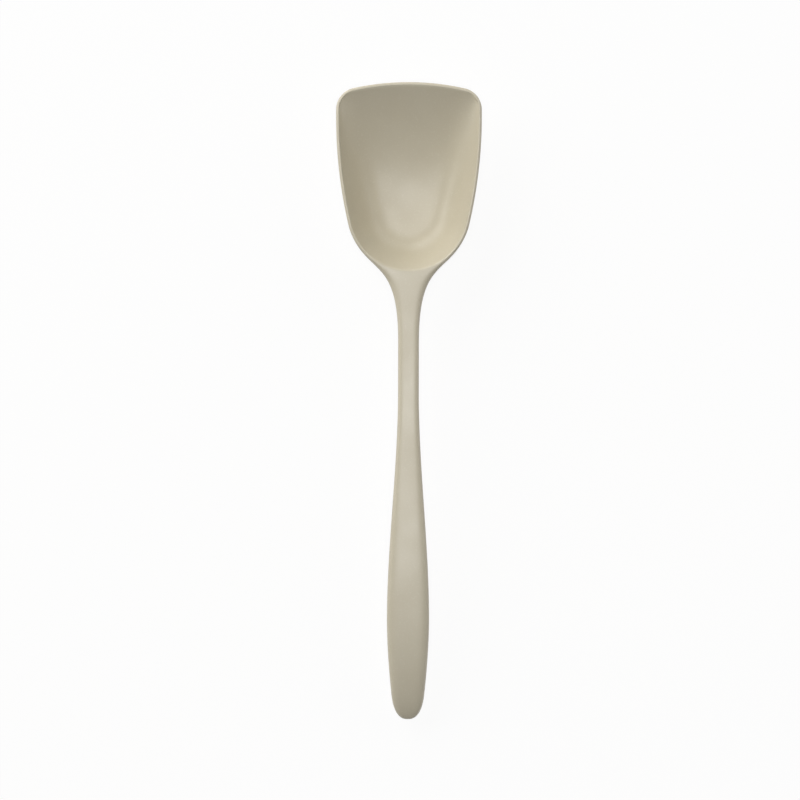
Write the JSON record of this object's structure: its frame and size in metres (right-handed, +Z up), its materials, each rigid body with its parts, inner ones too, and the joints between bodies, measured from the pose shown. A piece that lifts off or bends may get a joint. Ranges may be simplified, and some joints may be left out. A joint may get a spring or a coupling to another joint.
{
  "type": "cooking spoon",
  "caption": "One-piece moulded cooking spoon: a deep bowl with a broad scraping front edge, a flared neck and a slim handle that swells to a rounded, gently arched grip.",
  "frame": {"origin": "middle of the footprint, on the surface that the spoon lies on", "axes": "+Y from the grip's end to the bowl's front edge, +Z up out of the bowl's hollow, +X to the right seen from above"},
  "size_m": [0.0684, 0.3, 0.02],
  "materials": {
    "melamine": "satin compression-moulded melamine, warm grey-beige"
  },
  "bodies": {
    "root": {"spoon": "melamine"}
  },
  "joints": []
}
